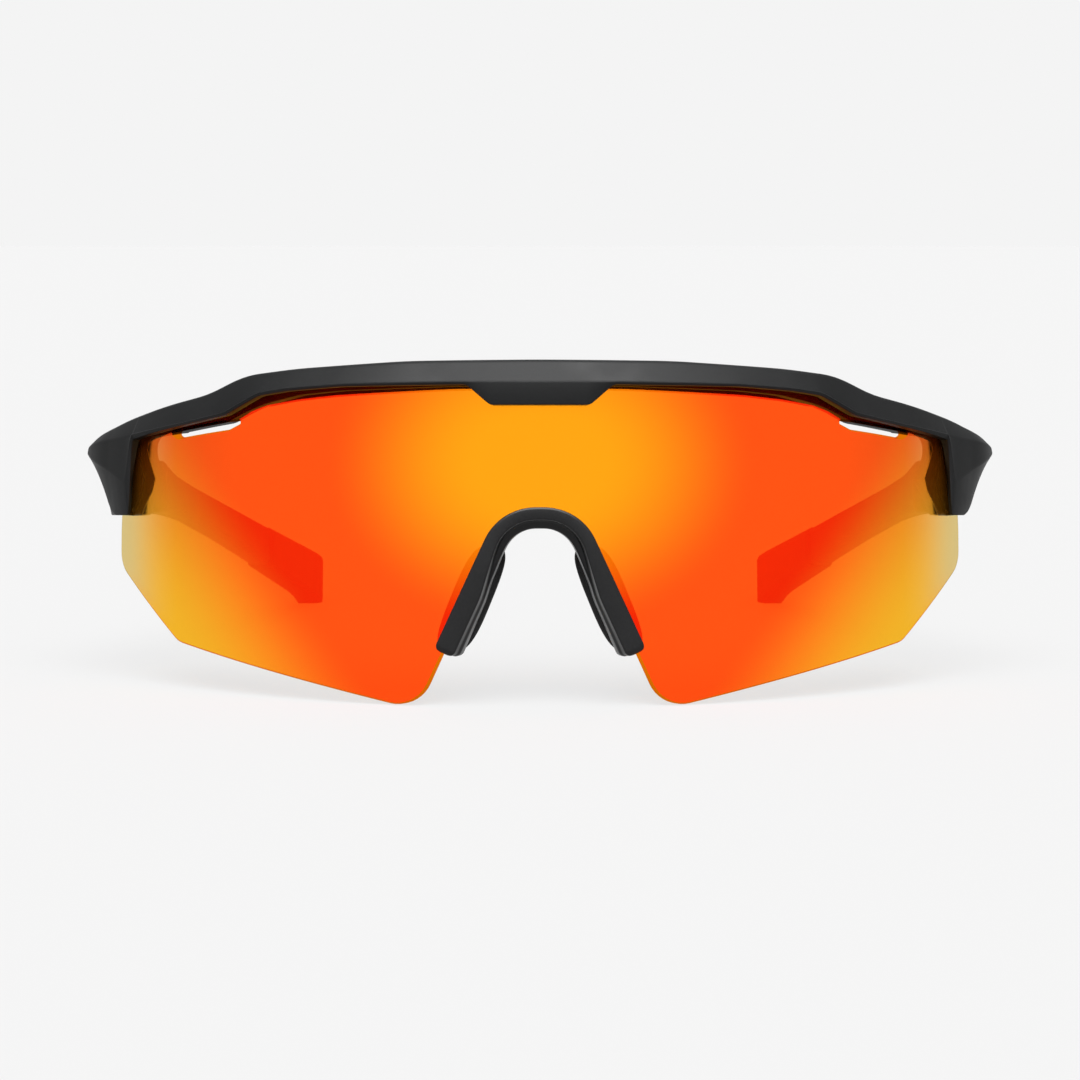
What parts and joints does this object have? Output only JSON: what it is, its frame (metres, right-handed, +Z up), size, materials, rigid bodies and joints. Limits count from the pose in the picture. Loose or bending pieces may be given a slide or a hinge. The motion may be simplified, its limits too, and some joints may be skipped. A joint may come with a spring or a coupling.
{
  "type": "glacier glasses",
  "caption": "Half-rim shield glacier glasses: one-piece cylindrical mirrored lens, brow frame, clip-on nose piece with rubber pads and folding temples.",
  "frame": {"origin": "bottom centre of the bounding box, with the temples open and the glasses standing on a table", "axes": "+Z up from the table, front of the lens faces -Y, temples run towards +Y, +X is the wearer's left"},
  "size_m": [0.1504, 0.1522, 0.0535],
  "materials": {
    "nylon_black": "fine matte charcoal nylon",
    "clip_black": "satin black",
    "rubber_black": "matte black",
    "lens_mirror": "red-orange mirror coat on polycarbonate, yellow in the middle of the top",
    "hinge_steel": "plain",
    "hinge_brass": "plain",
    "acetal_white": "natural"
  },
  "bodies": {
    "frame": {"brow_frame": "nylon_black", "brow_liner": "rubber_black", "hinge_insert_left": "hinge_brass", "hinge_insert_right": "hinge_brass", "hinge_screw_left": "hinge_steel", "hinge_screw_right": "hinge_steel"},
    "lens": {"shield_lens": "lens_mirror"},
    "nose_piece": {"nose_clip": "clip_black", "nose_pad_left": "rubber_black", "nose_pad_right": "rubber_black", "nose_core_left": "hinge_steel", "nose_core_right": "hinge_steel"},
    "left_temple": {"temple_arm_left": "nylon_black", "temple_grip_left": "rubber_black", "temple_core_left": "hinge_steel", "hinge_bush_left": "acetal_white"},
    "right_temple": {"temple_arm_right": "nylon_black", "temple_grip_right": "rubber_black", "temple_core_right": "hinge_steel", "hinge_bush_right": "acetal_white"}
  },
  "joints": [
    {"name": "left_temple_fold", "type": "hinge", "parent": "frame", "child": "left_temple", "pos_m": [0.0674, -0.02878, 0.0315], "axis": [0, 0.247, 0.969], "range_deg": [0, 86]},
    {"name": "right_temple_fold", "type": "hinge", "parent": "frame", "child": "right_temple", "pos_m": [-0.0674, -0.02878, 0.0315], "axis": [0, -0.247, -0.969], "range_deg": [0, 77]},
    {"name": "lens_release", "type": "slide", "parent": "frame", "child": "lens", "axis": [0, -0.0872, -0.9962], "range_m": [0, 0.03]},
    {"name": "nose_clip_release", "type": "slide", "parent": "lens", "child": "nose_piece", "axis": [0, -0.0872, -0.9962], "range_m": [0, 0.025]}
  ]
}
